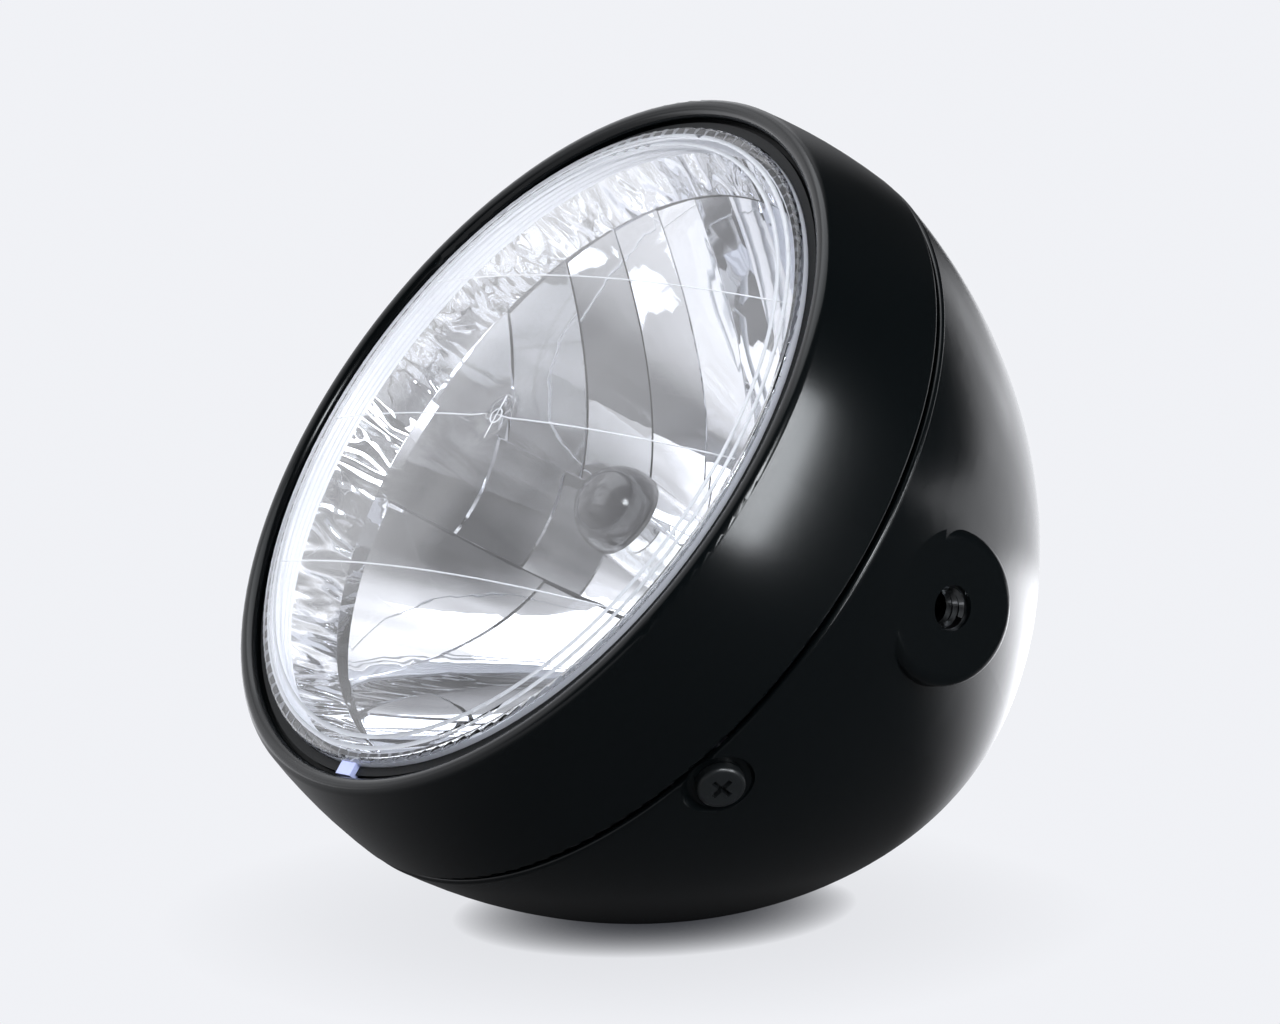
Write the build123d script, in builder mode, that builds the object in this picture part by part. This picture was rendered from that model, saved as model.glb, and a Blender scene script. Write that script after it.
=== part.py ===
from build123d import *
import os
from math import asin, cos, degrees, radians, sin, sqrt

# Round motorcycle headlight. X runs along the side-mount axis, the lens looks towards -Y and Z is up.
# The origin is where the optical axis crosses the side-mount axis. All sizes are in millimetres.

# General fits
touch = 0.1                  # play between faces that rest on each other
sheet = 1.2                  # pressed steel of rim and bowl

# Seam between rim and bowl
seam_y = -25.0
seam_gap = 0.8
seam_radius = 82.4

# Bowl
bowl_arc_radius = 119.0      # long arc of the bowl's section
rear_y = 60.0                # outer face of the flat at the back
rear_flat_radius = 29.0      # where the long arc would meet that face
rear_corner = 9.0
mouth_round = 0.8

# Side pads with their mounting nuts
pad_drop = 3.8               # outer face of the pad, in from the seam's radius
pad_radius = 14.8
pad_round = 2.2              # rounded outer edge
pad_wall = 1.5               # straight side of the pad before it flares into the bowl
pad_flare = 9.0
pad_flare_turn = 54.0
pad_root = 26.0              # depth of the pad's form into the bowl
pad_sink_draft = 6.0         # slope of the wall where the pad lies below the bowl
pad_sink_height = 8.0
mount_hole_radius = 4.3
mount_thread_radius = 4.0    # M8
nut_flange_radius = 11.0
nut_flange = 1.5
nut_across_flats = 14.0
nut_length = 7.0

# Rim screws
screw_angle = -38.0          # below the side-mount plane, mirrored on the other side
screw_y = -17.4
dimple_drop = 2.9            # floor of the dimple, in from the seam's radius
dimple_radius = 6.0
dimple_slope = 35.0
screw_head_radius = 4.6
screw_head = 2.2
screw_head_round = 0.9
screw_radius = 2.4           # M5
screw_length = 11.0
screw_play = 0.35
cross_length = 4.6
cross_width = 1.0
cross_depth = 1.4
cross_taper = 12.0

# Rim
rim_bend = 1.0
rim_hem = 3.6                # width of the turned-in rear edge
rim_lean = 2.5
rim_wall_radius = 120.0
rim_front_y = -52.75
nose_radius = 2.0
lip_length = 1.4

# Lens
seal_band = 2.9              # from the rim's lip to the lens
lens_apex_y = -60.9
dome_height = 8.4
lens_wall = 2.4
lens_flange = 2.3
lens_flange_width = 4.4
lens_edge_round = 1.0
ring_insets = (2.6, 4.8)     # moulded rings, measured in from the lens edge
ring_radius = 0.45
tab_width = 5.0
tab_length = 2.7
tab_depth = 1.8

# Lens seal
seal_play = 0.2
seal_bead = 1.85
seal_bead_height = 1.35
seal_shoulder = 1.6
seal_width = 5.2

# Reflector
flange_thickness = 2.5
flange_width = 8.2
chamber_taper = 4.3          # smooth wall, from the lens skirt in to where the facets begin
chamber_edge = 0.7           # straight edge at its foot, above the upper facets
chamber_wall = 2.0
focal = 20.0
vertex_y = 17.0
vertex_wall = 5.2            # along the axis, behind the upper facets
upper_edge_z = 14.0          # step between the upper facets and the middle band
lower_edge_z = -8.0          # step between the middle band and the lower facets
upper_strips = 12
middle_strips = 5            # on each side of a plain middle two strips wide
lower_strips = 6
zone_step = 1.3              # from the upper facets back to the middle band, and again to the lower facets
narrow_shift = 0.06          # sideways move of a facet's paraboloid, as a share of its middle's distance
wide_shift = 0.03

# Bulb seat
seat_y = 17.0
seat_hole_radius = 18.5
seat_wall = 2.2
collar_radius = 37.0
collar_wall = 2.0
collar_y = 23.0
hook_z = 27.5
hook_width = 8.0
hook_lip = 2.0
hook_root = 3.0
boss_radius = 3.6
seat_root = 10.8             # depth of the boss and the hook into the bowl behind the facets
boss_z = -28.5

# Main bulb
bulb_flange_radius = 21.5
bulb_flange = 1.0
bulb_collar_radius = 10.6
bulb_collar = 12.0
glass_radius = 8.75
glass_wall = 0.9
glass_tip_y = -33.0
stem_length = 7.0
bulb_shell_radius = 12.3
bulb_shell = 13.0
insulator_radius = 11.4
insulator = 8.0
blade_width = 8.0
blade_thickness = 0.8
blade_length = 9.0
blade_spread = 6.2
filament_radius = 0.8
filament_length = 5.0
dip_filament_y = -12.5
main_filament_y = -5.5
filament_offset = 1.4
support_radius = 0.35
shield_radius = 5.6
shield_wall = 0.5
shield_length = 9.0

# Bulb spring
wire_radius = 0.8
spring_half_width = 15.0
spring_screw_head = 3.2
spring_screw_shank = 1.4
spring_screw_length = 7.0

# Dust boot
boot_wall = 2.0
boot_skirt = 9.0
boot_neck_y = 34.0
boot_neck_length = 5.0
boot_neck_wall = 1.8
boot_fold = 4.0

# Position light
position_inset = 15.2        # from the foot of the chamber wall
position_boss_radius = 11.0
position_boss_y = 2.5
position_hole_radius = 7.6
holder_flange_radius = 10.4
holder_flange = 2.0
holder_body_y = -6.0
holder_grip = 9.0
holder_grip_radius = 6.0
wedge_radius = 5.0
wedge_length = 20.0
wedge_socket = 7.0
wedge_base_width = 8.6
wedge_base_thickness = 2.2

# Retaining clips
clip_wire_radius = 1.0
clip_angles = (40.0, 140.0, 250.0, 290.0)
clip_press = 7.0             # half the spacing of the two pressing bends
clip_reach = 20.0            # half the spacing of the hooked ends
clip_inset = 0.9             # pressing bends, measured in from the flange's edge

# Brackets on the rim
bracket_wall = 1.5
bracket_width = 14.0
bracket_end = 7.0            # past the screw
hook_strip_width = 18.0
weld_y = -37.0
weld_length = 5.5
bracket_step = 3.0
bracket_nut_flats = 8.0
bracket_nut = 4.0

# Cable grommet
cable_hole_radius = 9.0
grommet_flange_radius = 12.5
grommet_flange = 2.0
grommet_bore_radius = 6.0

os.makedirs("parts", exist_ok=True)


def finish(builder, name):
    builder.part.label = name
    export_step(builder.part, f"parts/{name}.step")


# Round wire along a path of straight runs and bends
def bent_wire(path, radius):
    with BuildPart() as wire:
        for edge in path.edges():
            with BuildSketch(Plane(origin=edge @ 0, z_dir=edge % 0)):
                Circle(radius)
            if edge.geom_type == GeomType.LINE:
                extrude(amount=edge.length)
            else:
                turn = Axis(edge.arc_center, (edge % 0).cross(edge % 1))
                revolve(axis=turn, revolution_arc=degrees(edge.length / edge.radius))
    return wire.part


# Section of the bowl: one long arc from the mouth to the flat at the back
mouth_y = seam_y + seam_gap / 2
pad_x = seam_radius - pad_drop
dimple_floor = seam_radius - dimple_drop
chord = Vector(rear_flat_radius - seam_radius, rear_y - mouth_y)
chord_middle = Vector((rear_flat_radius + seam_radius) / 2, (rear_y + mouth_y) / 2)
chord_normal = Vector(chord.Y, -chord.X).normalized()
bowl_centre = chord_middle - chord_normal * sqrt(bowl_arc_radius**2 - (chord.length / 2) ** 2)


def bowl_radius_at(y, inset=0.0):
    return bowl_centre.X + sqrt((bowl_arc_radius - inset) ** 2 - (y - bowl_centre.Y) ** 2)


def screw_plane(angle, distance):
    direction = Vector(cos(radians(angle)), 0, sin(radians(angle)))
    return Plane(origin=direction * distance + Vector(0, screw_y, 0), x_dir=(0, 1, 0), z_dir=direction)


screw_angles = (screw_angle, 180.0 - screw_angle)


# Solid outline of the bowl, drawn inwards by the inset: the outside, or the space inside
def bowl_form(inset):
    back = rear_y - inset
    with BuildPart() as form:
        with BuildSketch(Plane.XY) as section:
            with BuildLine():
                mouth = (bowl_radius_at(mouth_y, inset), mouth_y)
                middle_y = (mouth_y + back) / 2
                middle = (bowl_radius_at(middle_y, inset), middle_y)
                corner = (bowl_radius_at(back, inset), back)
                ThreePointArc(mouth, middle, corner)
                Polyline(corner, (0, back), (0, mouth_y), mouth)
            make_face()
            back_corner = section.vertices().group_by(Axis.Y)[-1].sort_by(Axis.X)[-1]
            fillet(back_corner, radius=rear_corner - inset)
            if inset < mouth_round:
                mouth_corner = section.vertices().group_by(Axis.Y)[0].sort_by(Axis.X)[-1]
                fillet(mouth_corner, radius=mouth_round - inset)
        revolve(axis=Axis.Y)
        for side in (1, -1):
            face_x = side * (pad_x - inset)
            with BuildSketch(Plane.XY):
                with BuildLine():
                    face_edge = (face_x, pad_radius - pad_round)
                    corner_arc = JernArc(face_edge, (0, 1), pad_round - inset, side * 90)
                    straight = Line(corner_arc @ 1, corner_arc @ 1 - Vector(side * pad_wall, 0))
                    flare = JernArc(straight @ 1, (-side, 0), pad_flare + inset, -side * pad_flare_turn)
                    base_x = face_x - side * pad_root
                    Polyline(flare @ 1, (base_x, (flare @ 1).Y), (base_x, 0), (face_x, 0), face_edge)
                make_face()
            revolve(axis=Axis.X)
            with BuildSketch(Plane(origin=(face_x, 0, 0), z_dir=(side, 0, 0))):
                Circle(pad_radius + inset)
            extrude(amount=pad_sink_height, taper=-pad_sink_draft, mode=Mode.SUBTRACT)
        for angle in screw_angles:
            with BuildSketch(screw_plane(angle, dimple_floor - inset)):
                Circle(dimple_radius + inset)
            extrude(amount=pad_sink_height, taper=-dimple_slope, mode=Mode.SUBTRACT)
    return form.part


bowl_outside = bowl_form(0.0)
bowl_inside = bowl_form(sheet)

with BuildPart() as rear_shell:
    add(bowl_outside)
    add(bowl_inside, mode=Mode.SUBTRACT)
    with BuildSketch(Plane.YZ):
        Circle(mount_hole_radius)
    extrude(amount=pad_x + sheet, both=True, mode=Mode.SUBTRACT)
    for angle in screw_angles:
        with BuildSketch(screw_plane(angle, dimple_floor - sheet * 2)):
            Circle(screw_radius + screw_play)
        extrude(amount=sheet * 3, mode=Mode.SUBTRACT)
    with BuildSketch(Plane.XZ.offset(-rear_y)):
        Circle(cable_hole_radius)
    extrude(amount=sheet * 2, both=True, mode=Mode.SUBTRACT)
finish(rear_shell, "rear_shell")

# Section of the rim: turned-in rear edge, leaning wall, rolled nose and lip
rim_rear_y = seam_y - seam_gap / 2
rim_wall_y = rim_rear_y - rim_bend - rim_bend * sin(radians(rim_lean))
wall_end_sine = (rim_wall_y + rim_wall_radius * sin(radians(rim_lean)) - nose_radius - rim_front_y) / (
    rim_wall_radius - nose_radius
)
wall_end_lean = degrees(asin(wall_end_sine))

with BuildPart() as front_rim:
    with BuildSketch(Plane.XY):
        with BuildLine():
            hem = Line((seam_radius - rim_hem, rim_rear_y), (seam_radius - rim_bend, rim_rear_y))
            bend = JernArc(hem @ 1, (1, 0), rim_bend, -90 - rim_lean)
            wall = JernArc(bend @ 1, bend % 1, rim_wall_radius, rim_lean - wall_end_lean)
            nose = JernArc(wall @ 1, wall % 1, nose_radius, wall_end_lean - 180)
            lip = Line(nose @ 1, nose @ 1 + Vector(0, lip_length))
            offset(amount=sheet, side=Side.RIGHT)
        make_face()
    revolve(axis=Axis.Y)
finish(front_rim, "front_rim")
lip_radius = lip.start_point().X
lip_end_y = lip.end_point().Y

# Lens: shallow dome, skirt through the rim and a flange behind the seal
lens_radius = lip_radius - seal_band
dome_radius = (lens_radius**2 + dome_height**2) / (2 * dome_height)
dome_centre_y = lens_apex_y + dome_radius
lens_edge_y = lens_apex_y + dome_height
skirt_radius = lens_radius - lens_wall
seal_front_y = lip_end_y + touch
seal_back_y = seal_front_y + seal_shoulder
lens_flange_y = seal_back_y + touch
lens_back_y = lens_flange_y + lens_flange
lens_flange_radius = lens_radius + lens_flange_width


def dome_y(radius, depth=0.0):
    return dome_centre_y - sqrt((dome_radius - depth) ** 2 - radius**2)


with BuildPart() as lens:
    with BuildSketch(Plane.XY) as section:
        with BuildLine():
            edge = (lens_radius, lens_edge_y)
            half = lens_radius / 2
            ThreePointArc((0, lens_apex_y), (half, dome_y(half)), edge)
            inner_edge = (skirt_radius, dome_y(skirt_radius, lens_wall))
            Polyline(
                edge,
                (lens_radius, lens_flange_y),
                (lens_flange_radius, lens_flange_y),
                (lens_flange_radius, lens_back_y),
                (skirt_radius, lens_back_y),
                inner_edge,
            )
            ThreePointArc(inner_edge, (half, dome_y(half, lens_wall)), (0, lens_apex_y + lens_wall))
            Line((0, lens_apex_y + lens_wall), (0, lens_apex_y))
        make_face()
        outer_edge = section.vertices().sort_by_distance((lens_radius, lens_edge_y, 0))[0]
        fillet(outer_edge, radius=lens_edge_round)
    revolve(axis=Axis.Y)
    for inset in ring_insets:
        ring = lens_radius - inset
        with Locations(Location((0, dome_y(ring), 0), (90, 0, 0))):
            Torus(ring, ring_radius, mode=Mode.SUBTRACT)
    tab_y = lens_edge_y + tab_depth
    with Locations((0, tab_y, -lens_radius)):
        Box(tab_width, tab_depth, tab_length * 2)
finish(lens, "lens")

# Rubber seal between the rim's lip and the lens flange, notched for the lens tab
seal_radius = lens_radius + seal_play
with BuildPart() as lens_seal:
    with BuildSketch(Plane.XY):
        with BuildLine():
            Polyline(
                (seal_radius, seal_back_y),
                (seal_radius + seal_width, seal_back_y),
                (seal_radius + seal_width, seal_front_y),
                (seal_radius + seal_bead, seal_front_y),
                (seal_radius + seal_bead, seal_front_y - seal_bead_height),
                (seal_radius, seal_front_y - seal_bead_height),
                close=True,
            )
        make_face()
    revolve(axis=Axis.Y)
    notch_depth = seal_bead_height + touch
    with Locations((0, seal_front_y - notch_depth / 2, -lens_radius)):
        Box(tab_width + 2 * seal_play, notch_depth, 2 * tab_length + 2 * seal_play, mode=Mode.SUBTRACT)
finish(lens_seal, "lens_seal")

# Reflector: flange, smooth chamber wall and a bowl of parabolic facets
flange_y = lens_back_y + touch
flange_back_y = flange_y + flange_thickness
flange_radius = skirt_radius + flange_width
chamber_foot_radius = skirt_radius - chamber_taper
chamber_foot_y = vertex_y - chamber_foot_radius**2 / (4 * focal) - chamber_edge
position_z = position_inset - chamber_foot_radius
back_vertex_y = vertex_y + vertex_wall
back_foot_radius = chamber_foot_radius + chamber_wall
back_foot_y = back_vertex_y - back_foot_radius**2 / (4 * focal)
seat_top_y = seat_y + bulb_flange
spring_y = seat_top_y + touch + wire_radius


# Space in front of one facet: the common paraboloid moved sideways, which leans the facet about its middle
def facet_space(x_low, x_high, z_low, z_high, depth, shift_share):
    middle_x = (x_low + x_high) / 2
    shift = shift_share * middle_x
    apex = vertex_y + depth + shift * (shift - 2 * middle_x) / (4 * focal)
    foot = apex - skirt_radius**2 / (4 * focal)
    with BuildPart() as space:
        with BuildSketch(Plane.XY):
            with BuildLine():
                edge = (shift + skirt_radius, foot)
                Bezier((shift, apex), (shift + skirt_radius / 2, apex), edge)
                Polyline(edge, (shift, foot), (shift, apex))
            make_face()
        revolve(axis=Axis((shift, 0, 0), (0, 1, 0)))
        with BuildSketch(Plane.XZ):
            Circle(chamber_foot_radius)
            with Locations((middle_x, (z_low + z_high) / 2)):
                Rectangle(x_high - x_low, z_high - z_low, mode=Mode.INTERSECT)
        extrude(amount=2 * lens_radius, both=True, mode=Mode.INTERSECT)
    return space.part


# Left and right edges of the facets in one zone, evenly spaced across the bowl
def strips(count):
    pitch = 2 * chamber_foot_radius / count
    return [(pitch * (index - count / 2), pitch * (index + 1 - count / 2)) for index in range(count)]


facets = []
for low, high in strips(upper_strips):
    facets.append((low, high, upper_edge_z, skirt_radius, 0.0, narrow_shift))
for low, high in strips(lower_strips):
    facets.append((low, high, -skirt_radius, lower_edge_z, 2 * zone_step, wide_shift))
middle_pitch = chamber_foot_radius / (middle_strips + 2)
middle_start = 2 * middle_pitch
for index in range(middle_strips):
    low = middle_start + index * middle_pitch
    facets.append((low, low + middle_pitch, lower_edge_z, upper_edge_z, zone_step, narrow_shift))
    facets.append((-low - middle_pitch, -low, lower_edge_z, upper_edge_z, zone_step, narrow_shift))
facets.append((-middle_start, middle_start, lower_edge_z, upper_edge_z, zone_step, narrow_shift))
facet_spaces = [facet_space(*facet) for facet in facets]

with BuildPart() as reflector:
    with BuildSketch(Plane.XY):
        with BuildLine():
            back_foot = (back_foot_radius, back_foot_y)
            Bezier((0, back_vertex_y), (back_foot_radius / 2, back_vertex_y), back_foot)
            Polyline(
                back_foot,
                (skirt_radius + chamber_wall, flange_back_y),
                (flange_radius, flange_back_y),
                (flange_radius, flange_y),
                (0, flange_y),
                (0, back_vertex_y),
            )
        make_face()
    revolve(axis=Axis.Y)
    with BuildSketch(Plane.XY):
        with Locations((seat_hole_radius, seat_top_y)):
            seat_width = bulb_flange_radius + seat_wall - seat_hole_radius
            Rectangle(seat_width, seat_root, align=(Align.MIN, Align.MAX))
        collar_root_y = back_vertex_y - collar_radius**2 / (4 * focal) - vertex_wall / 2
        with Locations((collar_radius, collar_y)):
            Rectangle(collar_wall, collar_y - collar_root_y, align=(Align.MAX, Align.MAX))
    revolve(axis=Axis.Y)
    with BuildSketch(Plane.XZ.offset(-seat_top_y)):
        with Locations((0, boss_z)):
            Circle(boss_radius)
    extrude(amount=seat_root)
    hook_top_y = spring_y + wire_radius + touch
    with BuildSketch(Plane.XZ.offset(-hook_top_y - hook_lip)):
        with Locations((0, hook_z + wire_radius * 2)):
            Rectangle(hook_width, hook_root, align=(Align.CENTER, Align.MIN))
    extrude(amount=hook_top_y + hook_lip - vertex_y + seat_root)
    with BuildSketch(Plane.XZ.offset(-hook_top_y - hook_lip)):
        with Locations((0, hook_z - wire_radius)):
            Rectangle(hook_width, hook_root + wire_radius * 3, align=(Align.CENTER, Align.MIN))
    extrude(amount=hook_lip)
    with BuildSketch(Plane.XZ.offset(-position_boss_y)):
        with Locations((0, position_z)):
            Circle(position_boss_radius)
    extrude(amount=position_boss_y - chamber_foot_y)
    with BuildSketch(Plane.XY):
        with BuildLine():
            Polyline(
                (0, flange_y),
                (skirt_radius, flange_y),
                (chamber_foot_radius, chamber_foot_y),
                (0, chamber_foot_y),
                close=True,
            )
        make_face()
    revolve(axis=Axis.Y, mode=Mode.SUBTRACT)
    for space in facet_spaces:
        add(space, mode=Mode.SUBTRACT)
    with BuildSketch(Plane.XZ.offset(-seat_top_y)):
        Circle(bulb_flange_radius + touch)
    extrude(amount=bulb_flange, mode=Mode.SUBTRACT)
    with BuildSketch(Plane.XZ.offset(-collar_y)):
        Circle(seat_hole_radius)
        with Locations((0, position_z)):
            Circle(position_hole_radius)
    extrude(amount=2 * lens_radius, mode=Mode.SUBTRACT)
    with BuildSketch(Plane.XZ.offset(-seat_top_y)):
        with Locations((0, boss_z)):
            Circle(spring_screw_shank + touch)
    extrude(amount=spring_screw_length, mode=Mode.SUBTRACT)
finish(reflector, "reflector")

# Main bulb: metal base with its flange, glass envelope, stem, filaments and dip shield
shell_end_y = seat_top_y + bulb_shell
collar_front_y = seat_y - bulb_collar
glass_bore = glass_radius + touch
with BuildPart() as bulb_base:
    with BuildSketch(Plane.XY):
        with BuildLine():
            Polyline(
                (0, seat_y),
                (glass_bore, seat_y),
                (glass_bore, collar_front_y),
                (bulb_collar_radius, collar_front_y),
                (bulb_collar_radius, seat_y),
                (bulb_flange_radius, seat_y),
                (bulb_flange_radius, seat_top_y),
                (bulb_shell_radius, seat_top_y),
                (bulb_shell_radius, shell_end_y),
                (0, shell_end_y),
                close=True,
            )
        make_face()
    revolve(axis=Axis.Y)
finish(bulb_base, "bulb_base")

glass_end_y = seat_y - touch
dome_end_y = glass_tip_y + glass_radius
inner_glass = glass_radius - glass_wall
with BuildPart() as bulb_glass:
    with BuildSketch(Plane.XY):
        with BuildLine():
            outer_dome = JernArc((0, glass_tip_y), (1, 0), glass_radius, 90)
            Polyline(
                outer_dome @ 1,
                (glass_radius, glass_end_y),
                (inner_glass, glass_end_y),
                (inner_glass, dome_end_y),
            )
            inner_dome = JernArc((inner_glass, dome_end_y), (0, -1), inner_glass, -90)
            Line(inner_dome @ 1, outer_dome @ 0)
        make_face()
    revolve(axis=Axis.Y)
finish(bulb_glass, "bulb_glass")

stem_front_y = glass_end_y - stem_length
with BuildPart() as bulb_stem:
    with BuildSketch(Plane.XZ.offset(-glass_end_y)):
        Circle(inner_glass - touch)
    extrude(amount=stem_length)
finish(bulb_stem, "bulb_stem")

with BuildPart() as bulb_filaments:
    for middle_y, height in ((dip_filament_y, filament_offset), (main_filament_y, -filament_offset)):
        with BuildSketch(Plane.XZ.offset(-middle_y - filament_length / 2)):
            with Locations((0, height)):
                Circle(filament_radius)
        extrude(amount=filament_length)
        for side in (-1, 1):
            end_y = middle_y + side * filament_length / 2
            drop = filament_radius + side * support_radius * 2
            with BuildSketch(Plane.XZ.offset(-stem_front_y)):
                with Locations((drop * 2, height)):
                    Circle(support_radius)
            extrude(amount=stem_front_y - end_y + support_radius)
            with BuildSketch(Plane.YZ):
                with Locations((end_y, height)):
                    Circle(support_radius)
            extrude(amount=drop * 2)
finish(bulb_filaments, "bulb_filaments")

with BuildPart() as bulb_shield:
    shield_start_y = dip_filament_y - shield_length / 2
    with BuildSketch(Plane.XZ.offset(-shield_start_y)):
        Circle(shield_radius)
        Circle(shield_radius - shield_wall, mode=Mode.SUBTRACT)
        with Locations((0, shield_radius)):
            Rectangle(2 * shield_radius, 2 * shield_radius, mode=Mode.SUBTRACT)
    extrude(amount=-shield_length)
    with BuildSketch(Plane.XZ.offset(-stem_front_y)):
        with Locations((0, -shield_radius + shield_wall / 2)):
            Circle(support_radius)
    extrude(amount=stem_front_y - shield_start_y - shield_length / 2)
finish(bulb_shield, "bulb_shield")

insulator_end_y = shell_end_y + insulator
with BuildPart() as bulb_insulator:
    with BuildSketch(Plane.XZ.offset(-insulator_end_y)):
        Circle(insulator_radius)
    extrude(amount=insulator)
finish(bulb_insulator, "bulb_insulator")

with BuildPart() as bulb_terminals:
    with BuildSketch(Plane.XZ.offset(-insulator_end_y)):
        with Locations((0, blade_spread)):
            Rectangle(blade_width, blade_thickness)
        with Locations((-blade_spread, -blade_thickness), (blade_spread, -blade_thickness)):
            Rectangle(blade_thickness, blade_width)
    extrude(amount=-blade_length)
finish(bulb_terminals, "bulb_terminals")

# Wire spring that holds the bulb's flange on its seat
wire_top_z = hook_z + wire_radius * 0.5
wire_low_z = boss_z - spring_screw_shank - wire_radius - touch * 3
with BuildLine(Plane.XZ.offset(-spring_y)) as spring_path:
    FilletPolyline(
        (spring_half_width / 2, wire_top_z),
        (spring_half_width, wire_top_z / 2),
        (spring_half_width, wire_low_z / 3),
        (boss_radius, wire_low_z),
        (-boss_radius, wire_low_z),
        (-spring_half_width, wire_low_z / 3),
        (-spring_half_width, wire_top_z / 2),
        (-spring_half_width / 2, wire_top_z),
        radius=boss_radius,
        close=True,
    )
spring_wire = bent_wire(spring_path.line, wire_radius)
with BuildPart() as bulb_spring:
    add(spring_wire)
finish(bulb_spring, "bulb_spring")

with BuildPart() as spring_screw:
    with BuildSketch(Plane.XZ.offset(-hook_top_y)):
        with Locations((0, boss_z)):
            Circle(spring_screw_head)
    extrude(amount=-hook_lip)
    with BuildSketch(Plane.XZ.offset(-hook_top_y)):
        with Locations((0, boss_z)):
            Circle(spring_screw_shank)
    extrude(amount=spring_screw_length)
finish(spring_screw, "spring_screw")

# Rubber boot over the reflector's collar and the bulb's insulator
boot_grip = collar_radius + touch
boot_inner_y = collar_y + touch
neck_radius = insulator_radius + touch
with BuildPart() as dust_boot:
    with BuildSketch(Plane.XY):
        with BuildLine():
            fold_radius = (boot_grip + neck_radius) / 2
            Polyline(
                (boot_grip, collar_y - boot_skirt),
                (boot_grip + boot_wall, collar_y - boot_skirt),
                (boot_grip + boot_wall, boot_inner_y + boot_wall),
                (fold_radius + boot_fold, boot_inner_y + boot_wall),
                (fold_radius, boot_inner_y + boot_wall + boot_fold),
                (neck_radius + boot_neck_wall + boot_fold / 2, boot_inner_y + boot_wall + boot_fold),
                (neck_radius + boot_neck_wall, boot_neck_y),
                (neck_radius + boot_neck_wall, boot_neck_y + boot_neck_length),
                (neck_radius, boot_neck_y + boot_neck_length),
                (neck_radius, boot_neck_y),
                (neck_radius + boot_fold / 2, boot_inner_y + boot_fold),
                (fold_radius - boot_wall / 2, boot_inner_y + boot_fold),
                (fold_radius + boot_fold - boot_wall / 2, boot_inner_y),
                (boot_grip, boot_inner_y),
                close=True,
            )
        make_face()
    revolve(axis=Axis.Y)
finish(dust_boot, "dust_boot")

# Position light in the lower half of the reflector
holder_flange_y = position_boss_y + touch
holder_back_y = holder_flange_y + holder_flange
with BuildPart() as position_holder:
    with BuildSketch(Plane.XZ.offset(-holder_back_y)):
        with Locations((0, position_z)):
            Circle(holder_flange_radius)
    extrude(amount=holder_flange)
    with BuildSketch(Plane.XZ.offset(-holder_back_y)):
        with Locations((0, position_z)):
            Circle(position_hole_radius - touch)
    extrude(amount=holder_back_y - holder_body_y)
    with BuildSketch(Plane.XZ.offset(-holder_back_y)):
        with Locations((0, position_z)):
            Circle(holder_grip_radius)
    extrude(amount=-holder_grip)
    with BuildSketch(Plane.XZ.offset(-holder_body_y)):
        with Locations((0, position_z)):
            Rectangle(wedge_base_width + 2 * touch, wedge_base_thickness + 2 * touch)
    extrude(amount=-wedge_socket, mode=Mode.SUBTRACT)
finish(position_holder, "position_holder")

with BuildPart() as position_bulb:
    with BuildSketch(Plane.XZ.offset(-holder_body_y + touch)):
        with Locations((0, position_z)):
            Circle(wedge_radius)
    extrude(amount=wedge_length - wedge_socket - wedge_radius)
    with Locations((0, holder_body_y - touch - wedge_length + wedge_socket + wedge_radius, position_z)):
        Sphere(wedge_radius)
    with BuildSketch(Plane.XZ.offset(-holder_body_y + touch)):
        with Locations((0, position_z)):
            Rectangle(wedge_base_width, wedge_base_thickness)
    extrude(amount=-wedge_socket + touch)
finish(position_bulb, "position_bulb")

# Sprung wire clips that press the reflector's flange towards the rim's lip
clip_plane_radius = flange_radius - clip_inset
clip_press_y = flange_back_y + touch / 2 + clip_wire_radius
clip_hook_y = rim_rear_y - sheet - touch / 2 - clip_wire_radius
clip_crest_y = (clip_press_y + clip_hook_y) / 2 - clip_wire_radius
clip_wires = []
for angle in clip_angles:
    outward = Vector(cos(radians(angle)), 0, sin(radians(angle)))
    tangent = Vector(-sin(radians(angle)), 0, cos(radians(angle)))
    clip_normal = tangent.cross(Vector(0, 1, 0))
    with BuildLine(Plane(outward * clip_plane_radius, tangent, clip_normal)) as clip_path:
        FilletPolyline(
            (-clip_reach, clip_hook_y),
            (-clip_press * 2, clip_hook_y),
            (-clip_press, clip_press_y),
            (0, clip_crest_y),
            (clip_press, clip_press_y),
            (clip_press * 2, clip_hook_y),
            (clip_reach, clip_hook_y),
            radius=clip_wire_radius * 2,
        )
    clip_wires.append(bent_wire(clip_path.line, clip_wire_radius))
with BuildPart() as retaining_clips:
    for clip_wire in clip_wires:
        add(clip_wire)
finish(retaining_clips, "retaining_clips")


# Stepped strip from the rim's wall to the inside of the bowl, in the section plane at an angle
def rim_strip(angle, width, path_points):
    outward = Vector(cos(radians(angle)), 0, sin(radians(angle)))
    section_plane = Plane(origin=(0, 0, 0), x_dir=outward, z_dir=outward.cross(Vector(0, 1, 0)))
    with BuildPart() as strip:
        with BuildSketch(section_plane):
            with BuildLine():
                Polyline(*path_points)
                offset(amount=bracket_wall, side=Side.LEFT)
            make_face()
        extrude(amount=width / 2, both=True)
    return strip.part


def rim_inner_radius(y):
    lean = asin((wall.start_point().Y - y) / rim_wall_radius + sin(radians(rim_lean)))
    return wall.start_point().X - rim_wall_radius * (cos(radians(rim_lean)) - cos(lean)) - sheet / cos(lean)


def weld_radius(width):
    return sqrt(rim_inner_radius(weld_y) ** 2 - (width / 2) ** 2) - touch


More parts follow.
